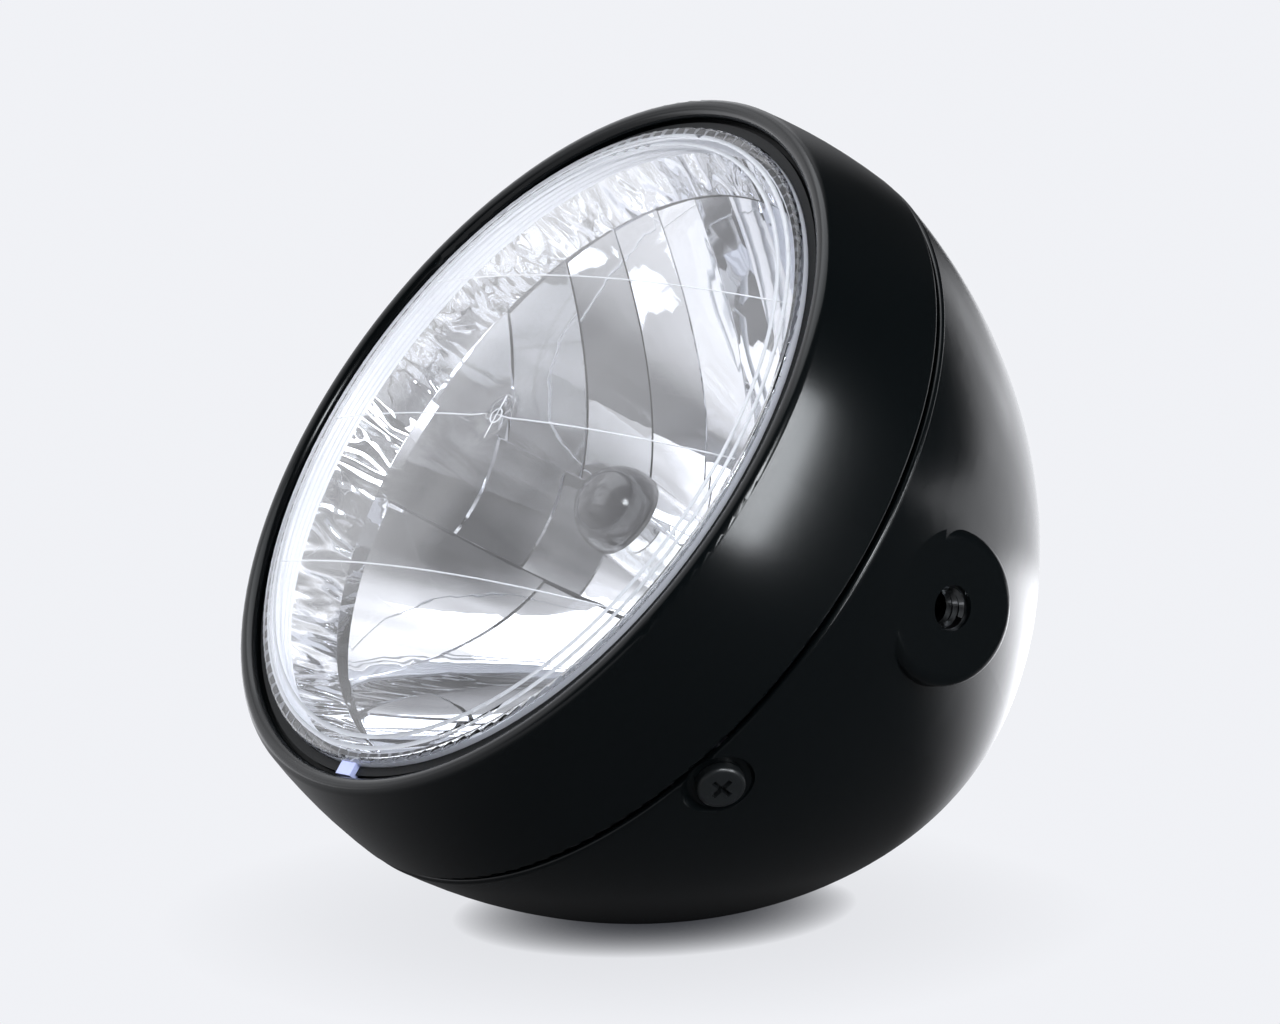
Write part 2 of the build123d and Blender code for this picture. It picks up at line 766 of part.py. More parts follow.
tongue_radius = dimple_floor - sheet - touch
step_y = weld_y + weld_length
for name, angle in (("rim_bracket_right", screw_angles[0]), ("rim_bracket_left", screw_angles[1])):
    points = (
        (weld_radius(bracket_width), weld_y),
        (weld_radius(bracket_width), step_y),
        (tongue_radius, step_y + bracket_step),
        (tongue_radius, screw_y + bracket_end),
    )
    bracket_form = rim_strip(angle, bracket_width, points)
    with BuildPart() as rim_bracket:
        add(bracket_form)
        with BuildSketch(screw_plane(angle, tongue_radius)):
            Circle(screw_radius + screw_play)
        extrude(amount=bracket_wall * 2, both=True, mode=Mode.SUBTRACT)
    finish(rim_bracket, name)

bowl_rest_y = screw_y
bowl_rest_radius = sqrt(bowl_radius_at(bowl_rest_y, sheet) ** 2 - (hook_strip_width / 2) ** 2) - touch * 2
hook_points = (
    (weld_radius(hook_strip_width), weld_y),
    (weld_radius(hook_strip_width), step_y),
    (tongue_radius, step_y + bracket_step),
    (tongue_radius, bowl_rest_y - bracket_step),
    (bowl_rest_radius, bowl_rest_y),
)
hook_form = rim_strip(90.0, hook_strip_width, hook_points)
with BuildPart() as rim_hook:
    add(hook_form)
finish(rim_hook, "rim_hook")

# Cross-head screws through the bowl into nuts under the brackets
with BuildPart() as rim_screws:
    for angle in screw_angles:
        with BuildSketch(screw_plane(angle, dimple_floor + touch)):
            Circle(screw_head_radius)
        extrude(amount=screw_head)
        head_edges = rim_screws.edges(Select.LAST).filter_by(GeomType.CIRCLE)
        head_top = screw_plane(angle, dimple_floor + touch + screw_head).origin
        fillet(head_edges.sort_by_distance(head_top)[0], screw_head_round)
        with BuildSketch(screw_plane(angle, dimple_floor + touch)):
            Circle(screw_radius)
        extrude(amount=-screw_length)
        with BuildSketch(screw_plane(angle, dimple_floor + touch + screw_head)):
            Rectangle(cross_length, cross_width)
            Rectangle(cross_width, cross_length)
        extrude(amount=-cross_depth, taper=cross_taper, mode=Mode.SUBTRACT)
finish(rim_screws, "rim_screws")

nut_seat = tongue_radius - bracket_wall - touch
with BuildPart() as bracket_nuts:
    for angle in screw_angles:
        with BuildSketch(screw_plane(angle, nut_seat)):
            RegularPolygon(bracket_nut_flats / 2, 6, major_radius=False)
            Circle(screw_radius + touch, mode=Mode.SUBTRACT)
        extrude(amount=-bracket_nut)
finish(bracket_nuts, "bracket_nuts")

# Flanged nuts behind the side pads
for name, side in (("mount_nut_right", 1), ("mount_nut_left", -1)):
    nut_face = Plane(origin=(side * (pad_x - sheet - touch), 0, 0), x_dir=(0, 1, 0), z_dir=(side, 0, 0))
    with BuildPart() as mount_nut:
        with BuildSketch(nut_face):
            Circle(nut_flange_radius)
            Circle(mount_thread_radius, mode=Mode.SUBTRACT)
        extrude(amount=-nut_flange)
        with BuildSketch(nut_face):
            RegularPolygon(nut_across_flats / 2, 6, major_radius=False)
            Circle(mount_thread_radius, mode=Mode.SUBTRACT)
        extrude(amount=-nut_length)
    finish(mount_nut, name)

# Rubber grommet in the flat at the back
grommet_waist = cable_hole_radius - touch
with BuildPart() as cable_grommet:
    with BuildSketch(Plane.XY):
        with BuildLine():
            outer_face = rear_y + touch
            inner_face = rear_y - sheet - touch
            Polyline(
                (grommet_bore_radius, outer_face + grommet_flange),
                (grommet_flange_radius, outer_face + grommet_flange),
                (grommet_flange_radius, outer_face),
                (grommet_waist, outer_face),
                (grommet_waist, inner_face),
                (grommet_flange_radius, inner_face),
                (grommet_flange_radius, inner_face - grommet_flange),
                (grommet_bore_radius, inner_face - grommet_flange),
                close=True,
            )
        make_face()
    revolve(axis=Axis.Y)
finish(cable_grommet, "cable_grommet")
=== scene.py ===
import math
import bpy
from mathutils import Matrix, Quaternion, Vector


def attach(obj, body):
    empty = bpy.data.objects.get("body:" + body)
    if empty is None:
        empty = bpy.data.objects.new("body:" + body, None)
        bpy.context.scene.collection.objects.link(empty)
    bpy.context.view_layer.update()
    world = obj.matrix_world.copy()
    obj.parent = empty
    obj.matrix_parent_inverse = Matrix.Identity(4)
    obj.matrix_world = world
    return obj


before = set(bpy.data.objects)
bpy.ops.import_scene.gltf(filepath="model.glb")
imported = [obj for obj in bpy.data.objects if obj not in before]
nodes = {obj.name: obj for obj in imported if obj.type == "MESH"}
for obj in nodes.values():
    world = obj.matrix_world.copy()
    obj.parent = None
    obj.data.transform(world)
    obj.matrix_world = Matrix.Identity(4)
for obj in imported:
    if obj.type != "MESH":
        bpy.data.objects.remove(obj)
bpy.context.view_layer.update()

mm = 0.001
scene = bpy.context.scene
scene.view_settings.view_transform = "Standard"
print("frame loaded,", len(nodes), "nodes")


# camera: the lamp keeps its own frame, so the camera is tipped instead
cameraSettings = {
    "place": (801.0, -528.6, -245.2),  # mm
    "aim": (-8.2, -15.4, 4.9),
    "roll": 28.19,  # degrees
    "lens": 140.6,
    "sensor": 36.0,
}


def makeCamera(s):
    data = bpy.data.cameras.new("photoCamera")
    data.lens = s["lens"]
    data.sensor_width = s["sensor"]
    camera = bpy.data.objects.new("photoCamera", data)
    scene.collection.objects.link(camera)
    place = Vector(s["place"]) * mm
    look = Vector(s["aim"]) * mm - place
    camera.location = place
    camera.rotation_mode = "QUATERNION"
    roll = Quaternion((0, 0, 1), math.radians(s["roll"]))
    camera.rotation_quaternion = look.to_track_quat("-Z", "Y") @ roll
    scene.camera = camera
    return camera


camera = makeCamera(cameraSettings)
cameraRight = camera.rotation_quaternion @ Vector((1, 0, 0))
cameraUp = camera.rotation_quaternion @ Vector((0, 1, 0))
cameraBack = camera.rotation_quaternion @ Vector((0, 0, 1))
print("camera placed")


# small node helpers
def addNode(tree, kind, **values):
    node = tree.nodes.new(kind)
    for key, value in values.items():
        setattr(node, key, value)
    return node


def setInputs(node, **values):
    for key, value in values.items():
        node.inputs[key.replace("_", " ")].default_value = value
    return node


def newMaterial(name):
    material = bpy.data.materials.new(name)
    material.use_nodes = True
    tree = material.node_tree
    tree.nodes.clear()
    shader = addNode(tree, "ShaderNodeBsdfPrincipled")
    output = addNode(tree, "ShaderNodeOutputMaterial")
    tree.links.new(shader.outputs["BSDF"], output.inputs["Surface"])
    return material, tree, shader, output


def newGroup(name, inputs, outputs):
    tree = bpy.data.node_groups.new(name, "ShaderNodeTree")
    for label, kind, value in inputs:
        socket = tree.interface.new_socket(name=label, in_out="INPUT", socket_type=kind)
        if value is not None:
            socket.default_value = value
    for label, kind in outputs:
        tree.interface.new_socket(name=label, in_out="OUTPUT", socket_type=kind)
    return tree, addNode(tree, "NodeGroupInput"), addNode(tree, "NodeGroupOutput")


def placeGroup(tree, group, **values):
    node = addNode(tree, "ShaderNodeGroup", node_tree=group)
    for key, value in values.items():
        node.inputs[key.replace("_", " ")].default_value = value
    return node


# grain: fine surface texture in object space, shared by paint, rubber, plastic and plain metal
grainSettings = {"detail": 3.0, "detailRough": 0.55, "broadScale": 28.0, "broadDetail": 2.0}


def makeGrainGroup(s):
    tree, inside, outside = newGroup(
        "surfaceGrain",
        [
            ("Scale", "NodeSocketFloat", 900.0),
            ("Tone", "NodeSocketColor", (0.01, 0.01, 0.01, 1)),
            ("Tone Spread", "NodeSocketFloat", 0.15),
            ("Rough Low", "NodeSocketFloat", 0.35),
            ("Rough High", "NodeSocketFloat", 0.45),
        ],
        [("Color", "NodeSocketColor"), ("Roughness", "NodeSocketFloat"), ("Height", "NodeSocketFloat")],
    )
    link = tree.links.new
    place = addNode(tree, "ShaderNodeTexCoord")
    fine = setInputs(addNode(tree, "ShaderNodeTexNoise"), Detail=s["detail"], Roughness=s["detailRough"])
    broad = setInputs(addNode(tree, "ShaderNodeTexNoise"), Scale=s["broadScale"], Detail=s["broadDetail"])
    link(place.outputs["Object"], fine.inputs["Vector"])
    link(place.outputs["Object"], broad.inputs["Vector"])
    link(inside.outputs["Scale"], fine.inputs["Scale"])
    shade = addNode(tree, "ShaderNodeMapRange")
    low = addNode(tree, "ShaderNodeMath", operation="SUBTRACT")
    low.inputs[0].default_value = 1.0
    high = addNode(tree, "ShaderNodeMath", operation="ADD")
    high.inputs[0].default_value = 1.0
    link(inside.outputs["Tone Spread"], low.inputs[1])
    link(inside.outputs["Tone Spread"], high.inputs[1])
    link(broad.outputs["Fac"], shade.inputs["Value"])
    link(low.outputs[0], shade.inputs["To Min"])
    link(high.outputs[0], shade.inputs["To Max"])
    tint = addNode(tree, "ShaderNodeVectorMath", operation="SCALE")
    link(inside.outputs["Tone"], tint.inputs[0])
    link(shade.outputs["Result"], tint.inputs["Scale"])
    rough = addNode(tree, "ShaderNodeMapRange")
    link(fine.outputs["Fac"], rough.inputs["Value"])
    link(inside.outputs["Rough Low"], rough.inputs["To Min"])
    link(inside.outputs["Rough High"], rough.inputs["To Max"])
    link(tint.outputs["Vector"], outside.inputs["Color"])
    link(rough.outputs["Result"], outside.inputs["Roughness"])
    link(fine.outputs["Fac"], outside.inputs["Height"])
    return tree


grainGroup = makeGrainGroup(grainSettings)


def grainMaterial(name, s):
    material, tree, shader, output = newMaterial(name)
    grain = placeGroup(
        tree, grainGroup, Scale=s["scale"], Tone=(*s["tone"], 1), Tone_Spread=s["spread"],
        Rough_Low=s["rough"][0], Rough_High=s["rough"][1],
    )
    bump = setInputs(addNode(tree, "ShaderNodeBump"), Strength=s["bump"], Distance=s["depth"] * mm)
    tree.links.new(grain.outputs["Color"], shader.inputs["Base Color"])
    tree.links.new(grain.outputs["Roughness"], shader.inputs["Roughness"])
    tree.links.new(grain.outputs["Height"], bump.inputs["Height"])
    tree.links.new(bump.outputs["Normal"], shader.inputs["Normal"])
    setInputs(shader, Metallic=s.get("metal", 0.0), IOR=s.get("ior", 1.5))
    shader.inputs["Specular IOR Level"].default_value = s.get("specular", 0.5)
    return material


paintSettings = {
    "tone": (0.0014, 0.0021, 0.0024), "spread": 0.12, "rough": (0.17, 0.22),
    "scale": 1300.0, "bump": 0.05, "depth": 0.06, "specular": 0.3,
}
screwSettings = {
    "tone": (0.006, 0.007, 0.0075), "spread": 0.2, "rough": (0.3, 0.42),
    "scale": 1600.0, "bump": 0.08, "depth": 0.05, "specular": 0.5,
}
rubberSettings = {
    "tone": (0.005, 0.0055, 0.006), "spread": 0.2, "rough": (0.5, 0.65),
    "scale": 1800.0, "bump": 0.15, "depth": 0.08, "specular": 0.2,
}
plasticSettings = {
    "tone": (0.02, 0.02, 0.022), "spread": 0.15, "rough": (0.4, 0.55),
    "scale": 1500.0, "bump": 0.12, "depth": 0.06, "specular": 0.5,
}
zincSettings = {
    "tone": (0.52, 0.53, 0.55), "spread": 0.12, "rough": (0.26, 0.42),
    "scale": 1200.0, "bump": 0.06, "depth": 0.05, "metal": 1.0,
}
bulbMetalSettings = {
    "tone": (0.6, 0.6, 0.59), "spread": 0.08, "rough": (0.2, 0.32),
    "scale": 1400.0, "bump": 0.04, "depth": 0.04, "metal": 1.0,
}
brassSettings = {
    "tone": (0.66, 0.5, 0.24), "spread": 0.12, "rough": (0.25, 0.4),
    "scale": 1500.0, "bump": 0.05, "depth": 0.04, "metal": 1.0,
}
filamentSettings = {
    "tone": (0.3, 0.3, 0.31), "spread": 0.2, "rough": (0.35, 0.5),
    "scale": 5200.0, "bump": 0.5, "depth": 0.1, "metal": 1.0,
}
blackPaint = grainMaterial("blackPaint", paintSettings)
screwPaint = grainMaterial("screwPaint", screwSettings)
sealRubber = grainMaterial("sealRubber", rubberSettings)
darkPlastic = grainMaterial("darkPlastic", plasticSettings)
zincSteel = grainMaterial("zincSteel", zincSettings)
bulbMetal = grainMaterial("bulbMetal", bulbMetalSettings)
terminalBrass = grainMaterial("terminalBrass", brassSettings)
filamentWire = grainMaterial("filamentWire", filamentSettings)


# relief of the reflector: crowned strips in three zones, and streaks down the chamber wall
reliefSettings = {
    "upperZ": 14.0, "lowerZ": -8.0, "footY": -36.8,  # mm
    "upperPitch": 10.86, "middlePitch": 9.31, "lowerPitch": 21.72,
    "crown": 0.14, "tilt": 0.42, "lowerShare": 0.7,
    "streak": 140.0, "streakStretch": 0.2, "streakDepth": 2.1,
    "streakDetail": 1.5, "streakTwist": 0.6,
    "upperSeed": 0.5, "middleSeed": 40.5, "lowerSeed": 80.5,
}


def makeReliefGroup(s):
    tree, inside, outside = newGroup("reflectorRelief", [], [("Height", "NodeSocketFloat")])
    link = tree.links.new

    def math2(operation, first, second=None):
        node = addNode(tree, "ShaderNodeMath", operation=operation)
        for socket, value in zip(node.inputs, (first, second)):
            if value is None:
                continue
            if isinstance(value, float):
                socket.default_value = value
            else:
                link(value, socket)
        return node.outputs[0]

    place = addNode(tree, "ShaderNodeTexCoord")
    split = addNode(tree, "ShaderNodeSeparateXYZ")
    link(place.outputs["Object"], split.inputs["Vector"])
    x, y, z = split.outputs

    def strips(pitch, seed):
        cell = math2("DIVIDE", x, pitch * mm)
        across = math2("SUBTRACT", math2("FRACT", cell), 0.5)
        chance = addNode(tree, "ShaderNodeTexWhiteNoise", noise_dimensions="1D")
        link(math2("ADD", math2("FLOOR", cell), seed), chance.inputs["W"])
        lean = math2("MULTIPLY", math2("SUBTRACT", chance.outputs["Value"], 0.5), 2.0 * s["tilt"])
        bow = math2("MULTIPLY", math2("MULTIPLY", across, across), -4.0 * s["crown"])
        return math2("ADD", bow, math2("MULTIPLY", across, lean))

    upper = math2("GREATER_THAN", z, s["upperZ"] * mm)
    lower = math2("LESS_THAN", z, s["lowerZ"] * mm)
    middle = math2("SUBTRACT", math2("SUBTRACT", 1.0, upper), lower)
    aside = math2("GREATER_THAN", math2("ABSOLUTE", x), 2 * s["middlePitch"] * mm)
    zones = math2("MULTIPLY", strips(s["upperPitch"], s["upperSeed"]), upper)
    flanks = math2("MULTIPLY", middle, aside)
    zones = math2("ADD", zones, math2("MULTIPLY", strips(s["middlePitch"], s["middleSeed"]), flanks))
    wide = math2("MULTIPLY", strips(s["lowerPitch"], s["lowerSeed"]), s["lowerShare"])
    zones = math2("ADD", zones, math2("MULTIPLY", wide, lower))
    wall = math2("LESS_THAN", y, s["footY"] * mm)
    flatten = addNode(tree, "ShaderNodeMapping")
    flatten.inputs["Scale"].default_value = (1.0, s["streakStretch"], 1.0)
    noise = setInputs(
        addNode(tree, "ShaderNodeTexNoise"),
        Scale=s["streak"], Detail=s["streakDetail"], Distortion=s["streakTwist"],
    )
    link(place.outputs["Object"], flatten.inputs["Vector"])
    link(flatten.outputs["Vector"], noise.inputs["Vector"])
    streaks = math2("MULTIPLY", math2("MULTIPLY", noise.outputs["Fac"], s["streakDepth"]), wall)
    bowl = math2("MULTIPLY", zones, math2("SUBTRACT", 1.0, wall))
    link(math2("ADD", streaks, bowl), outside.inputs["Height"])
    return tree


# bright metal coat of the reflector
mirrorSettings = {"tone": (0.90, 0.905, 0.925), "rough": 0.02}


def makeMirror(s):
    material, tree, shader, output = newMaterial("brightReflector")
    relief = placeGroup(tree, makeReliefGroup(reliefSettings))
    bump = setInputs(addNode(tree, "ShaderNodeBump"), Strength=1.0, Distance=mm)
    tree.links.new(relief.outputs["Height"], bump.inputs["Height"])
    tree.links.new(bump.outputs["Normal"], shader.inputs["Normal"])
    shader.inputs["Base Color"].default_value = (*s["tone"], 1)
    setInputs(shader, Metallic=1.0, Roughness=s["rough"])
    return material


brightReflector = makeMirror(mirrorSettings)


# clear glass and clear plastic let shadow rays through, so that the inside is lit
glassSettings = {"tone": (0.985, 0.99, 1.0), "rough": 0.0, "lensIor": 1.49, "bulbIor": 1.47}


def makeClear(name, s, ior):
    material, tree, shader, output = newMaterial(name)
    shader.inputs["Base Color"].default_value = (*s["tone"], 1)
    setInputs(shader, Roughness=s["rough"], IOR=ior)
    shader.inputs["Transmission Weight"].default_value = 1.0
    rays = addNode(tree, "ShaderNodeLightPath")
    through = addNode(tree, "ShaderNodeBsdfTransparent")
    mix = addNode(tree, "ShaderNodeMixShader")
    tree.links.new(rays.outputs["Is Shadow Ray"], mix.inputs["Fac"])
    tree.links.new(shader.outputs["BSDF"], mix.inputs[1])
    tree.links.new(through.outputs["BSDF"], mix.inputs[2])
    tree.links.new(mix.outputs["Shader"], output.inputs["Surface"])
    return material


clearLens = makeClear("clearLens", glassSettings, glassSettings["lensIor"])
bulbGlass = makeClear("bulbGlass", glassSettings, glassSettings["bulbIor"])


# plain finishes of small pieces
plainSettings = {
    "frostedLens": {"tone": (0.6, 0.61, 0.66), "rough": 0.3},
    "lineLens": {"tone": (0.62, 0.63, 0.66), "rough": 0.35},
    "tabLens": {"tone": (0.55, 0.6, 0.95), "rough": 0.15},
    "tipCoat": {"tone": (0.005, 0.005, 0.007), "rough": 0.12},
    # the mount nuts are a nearly black metal, which keeps the insides of their holes dark
    "darkSteel": {"tone": (0.05, 0.052, 0.055), "rough": 0.3, "metal": 1.0},
    "threadSteel": {"tone": (0.35, 0.36, 0.37), "rough": 0.2, "metal": 1.0},
}


def plainMaterial(name):
    s = plainSettings[name]
    material, tree, shader, output = newMaterial(name)
    shader.inputs["Base Color"].default_value = (*s["tone"], 1)
    setInputs(shader, Roughness=s["rough"], Metallic=s.get("metal", 0.0))
    return material


frostedLens = plainMaterial("frostedLens")
lineLens = plainMaterial("lineLens")
tabLens = plainMaterial("tabLens")
tipCoat = plainMaterial("tipCoat")
darkSteel = plainMaterial("darkSteel")
threadSteel = plainMaterial("threadSteel")
print("materials made")


# the CAD nodes that stay take their finish here
finishes = {
    "front_rim": blackPaint, "rear_shell": blackPaint, "rim_screws": screwPaint,
    "lens": clearLens, "lens_seal": sealRubber, "reflector": brightReflector,
    "retaining_clips": zincSteel, "rim_bracket_right": zincSteel, "rim_bracket_left": zincSteel,
    "rim_hook": zincSteel, "bracket_nuts": zincSteel, "mount_nut_right": darkSteel,
    "mount_nut_left": darkSteel, "bulb_base": bulbMetal, "bulb_glass": bulbGlass,
    "bulb_stem": bulbGlass, "bulb_filaments": filamentWire, "bulb_shield": bulbMetal,
    "bulb_insulator": darkPlastic, "bulb_terminals": terminalBrass, "bulb_spring": zincSteel,
    "spring_screw": zincSteel, "dust_boot": sealRubber, "position_holder": darkPlastic,
    "position_bulb": bulbGlass, "cable_grommet": sealRubber,
}
for name, material in finishes.items():
    nodes[name].data.materials.clear()
    nodes[name].data.materials.append(material)


# the lens has a tinted tab, a frosted edge and two pale grooves
edgeSettings = {
    "tabHalfWidth": 2.55, "tabFront": -49.5, "radius": 71.8, "front": -51.4,  # mm
    "rings": (69.26, 67.06), "ringRadius": 0.52, "ringSink": 0.04,
    "domeRadius": 311.6, "domeCentre": 250.7,
}


def inRing(places, s):
    sunk = 0.0
    for x, y, z in places:
        radius = math.hypot(x, z)
        near = min(s["rings"], key=lambda ring: abs(ring - radius))
        ringY = s["domeCentre"] - math.sqrt(s["domeRadius"] ** 2 - near**2)
        if math.hypot(radius - near, y - ringY) > s["ringRadius"]:
            return False
        sunk = max(sunk, y - s["domeCentre"] + math.sqrt(s["domeRadius"] ** 2 - radius**2))
    return sunk > s["ringSink"]


def finishLensEdge(s):
    mesh = nodes["lens"].data
    mesh.materials.append(tabLens)
    mesh.materials.append(frostedLens)
    mesh.materials.append(lineLens)
    for face in mesh.polygons:
        x, y, z = face.center / mm
        if abs(x) < s["tabHalfWidth"] and z < -s["radius"] and y < s["tabFront"]:
            face.material_index = 1
        elif math.hypot(x, z) > s["radius"] and y > s["front"]:
            face.material_index = 2
        elif inRing([mesh.vertices[i].co / mm for i in face.vertices], s):
            face.material_index = 3


finishLensEdge(edgeSettings)


# only the inside of the reflector is bright
backSettings = {"middleY": -40.0}  # mm, a point that the bright faces look towards


def finishReflectorBack(s):
    mesh = nodes["reflector"].data
    mesh.materials.append(darkPlastic)
    middle = Vector((0, s["middleY"], 0)) * mm
    for face in mesh.polygons:
        if face.normal.dot(middle - face.center) < 0:
            face.material_index = 1


finishReflectorBack(backSettings)
print("finishes set")


# small pieces are meshes in millimetres that ride on the lamp
def addPiece(name, points, faces, material, slot):
    mesh = bpy.data.meshes.new(name)
    mesh.from_pydata([Vector(p) * mm for p in points], [], faces)
    mesh.materials.append(material)
    mesh.shade_smooth()
    piece = bpy.data.objects.new(name, mesh)
    scene.collection.objects.link(piece)
    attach(piece, "root")
    return piece


# a closed section of (radius, y) points turned about the lamp's axis
def turned(section, steps):
    count = len(section)
    points, faces = [], []
    for step in range(steps):
        angle = math.tau * step / steps
        points += [(r * math.cos(angle), y, r * math.sin(angle)) for r, y in section]
        following = (step + 1) % steps
        for i in range(count):
            j = (i + 1) % count
            faces.append((step * count + i, step * count + j, following * count + j, following * count + i))
    return points, faces


# a closed section carried along a row of places, with both ends capped
def swept(sections):
    count = len(sections[0])
    points = [p for section in sections for p in section]
    faces = []
    for step in range(len(sections) - 1):
        for i in range(count):
            j = (i + 1) % count
            a, b = step * count, (step + 1) * count
            faces.append((a + i, a + j, b + j, b + i))
    last = (len(sections) - 1) * count
    faces += [tuple(reversed(range(count))), tuple(range(last, last + count))]
    return points, faces


# lines and centre mark moulded on the inside of the lens
lineSettings = {
    "heights": (-33.0, 0.0, 33.0), "reach": 68.6, "width": 0.26, "depth": 0.16, "steps": 60,
    "domeRadius": 309.2, "domeCentre": 250.72, "gap": 0.03,
    "markRadius": 1.75, "markSteps": 40, "strokeReach": 4.8, "strokeSteps": 10,
}


def innerDome(x, z, s):
    return s["domeCentre"] - math.sqrt(s["domeRadius"] ** 2 - x * x - z * z) + s["gap"]


def lineSection(x, z, acrossX, acrossZ, s):
    half = s["width"] / 2
    near = (x - acrossX * half, z - acrossZ * half)
    far = (x + acrossX * half, z + acrossZ * half)
    corners = [(near, 0.0), (far, 0.0), (far, s["depth"]), (near, s["depth"])]
    return [(px, innerDome(px, pz, s) + rise, pz) for (px, pz), rise in corners]


def makeLensLines(s):
    for index, height in enumerate(s["heights"]):
        reach = math.sqrt(s["reach"] ** 2 - height**2)
        row = [reach * (2 * i / s["steps"] - 1) for i in range(s["steps"] + 1)]
        sections = [lineSection(x, height, 0, 1, s) for x in row]
        addPiece("lensLine%d" % index, *swept(sections), lineLens, "clear_lens")
    stroke = [s["strokeReach"] * (2 * i / s["strokeSteps"] - 1) for i in range(s["strokeSteps"] + 1)]
    addPiece("centreStroke", *swept([lineSection(0, z, 1, 0, s) for z in stroke]), lineLens, "clear_lens")
    half = s["width"] / 2
    inner, outer = s["markRadius"] - half, s["markRadius"] + half
    ring = [(inner, 0.0), (outer, 0.0), (outer, s["depth"]), (inner, s["depth"])]
    points, faces = turned(ring, s["markSteps"])
    points = [(x, innerDome(x, z, s) + rise, z) for x, rise, z in points]
    addPiece("centreRing", points, faces, lineLens, "clear_lens")


makeLensLines(lineSettings)


# fine moulded rings inside the lens skirt
skirtSettings = {
    "outer": 69.4, "inner": 69.05, "ridge": 0.22, "front": -50.2, "back": -45.4,  # mm
    "ridges": 5, "steps": 240,
}


def makeSkirtRings(s):
    section = [(s["outer"], s["back"]), (s["outer"], s["front"])]
    rise = (s["back"] - s["front"]) / (2 * s["ridges"])
    for i in range(2 * s["ridges"] + 1):
        section.append((s["inner"] + s["ridge"] * (i % 2), s["front"] + rise * i))
    piece = addPiece("skirtRings", *turned(section, s["steps"]), frostedLens, "clear_lens")
    piece.data.shade_flat()


makeSkirtRings(skirtSettings)


# smooth bead on the rounded mouth of the bowl, left open at the two screws
mouthSettings = {
    "radius": 81.50, "y": -23.8, "round": 0.83, "depth": 0.3, "arc": 10, "from": -8.0, "to": 98.0,
    "runs": {"mouthBeadUpper": (-31.0, 211.0), "mouthBeadLower": (225.0, 315.0)},  # degrees round the axis
}


def makeMouthBead(s):
    def arc(radius):
        turn = [math.radians(s["from"] + (s["to"] - s["from"]) * i / s["arc"]) for i in range(s["arc"] + 1)]
        return [(s["radius"] + radius * math.cos(a), s["y"] - radius * math.sin(a)) for a in turn]
    section = arc(s["round"]) + arc(s["round"] - s["depth"])[::-1]
    for name, (start, end) in s["runs"].items():
        turns = [math.radians(start + i) for i in range(int(end - start) + 1)]
        rows = [[(r * math.cos(a), y, r * math.sin(a)) for r, y in section] for a in turns]
        points, faces = swept(rows)
        addPiece(name, points, faces[:-2], blackPaint, "black_paint")  # without the end caps


makeMouthBead(mouthSettings)


# dark coat on the tip of the main bulb
tipSettings = {
    "radius": 8.78, "coat": 0.05, "centre": -24.25, "end": -22.5, "pole": 0.01,  # mm
    "steps": 96, "arc": 16,
}


def makeBulbTip(s):
    def arc(radius):
        turn = [math.pi / 2 * i / s["arc"] for i in range(s["arc"] + 1)]
        dome = [(max(radius * math.sin(a), s["pole"]), s["centre"] - radius * math.cos(a)) for a in turn]
        return dome + [(radius, s["end"])]
    section = arc(s["radius"] + s["coat"]) + arc(s["radius"])[::-1]
    addPiece("bulbTip", *turned(section, s["steps"]), tipCoat, "bulb_glass")


makeBulbTip(tipSettings)


# thread of the side mounts, a ridge wound inside each nut
threadSettings = {
    "root": 3.97, "crest": 3.3, "pitch": 1.9, "halfWidth": 0.7, "start": 76.5,  # mm
    "turns": 2.9, "steps": 56,
}


def makeThreads(s):
    for name, side in (("threadRight", 1), ("threadLeft", -1)):
        sections = []
        for i in range(int(s["turns"] * s["steps"]) + 1):
            angle = math.tau * i / s["steps"]
            x = s["start"] - s["pitch"] * i / s["steps"]
            profile = ((s["root"], s["halfWidth"]), (s["crest"], 0.0), (s["root"], -s["halfWidth"]))
            along, across = math.cos(angle), side * math.sin(angle)
            sections.append([(side * (x + push), r * along, r * across) for r, push in profile])
        addPiece(name, *swept(sections), threadSteel, "zinc_steel").data.shade_flat()


makeThreads(threadSettings)
print("small pieces made")


# floor under the bowl, square to the photograph's upright and clear from below
floorSettings = {
    "cameraHeight": 9.5,  # degrees of the camera above the floor
    "size": 7.0,  # m
    "tone": (0.875, 0.885, 0.92),
    "shade": (0.028, 0.03, 0.036),  # painted shadow colour under the bowl
    "reach": 0.0075,  # m, how far the painted shadow spreads
    "hardness": 1.0,
    "wideReach": 0.04,  # m, a fainter painted shadow further out
    "wideShare": 0.16,
    "samples": 24,
    "mirrored": 0.08,  # least strength in the paint's reflections
    "behind": {"span": (0.06, 0.22), "strength": 1.6},  # m away from the camera
    "left": {"span": (0.04, 0.2), "strength": 0.7},
    "patch": {"place": (0.2, -0.16), "span": (0.06, 0.22), "strength": 2.6},  # right and near
    "clear": {"span": (-0.25, 0.05), "strength": (0.2, 1.3)},  # seen by way of the lens
}


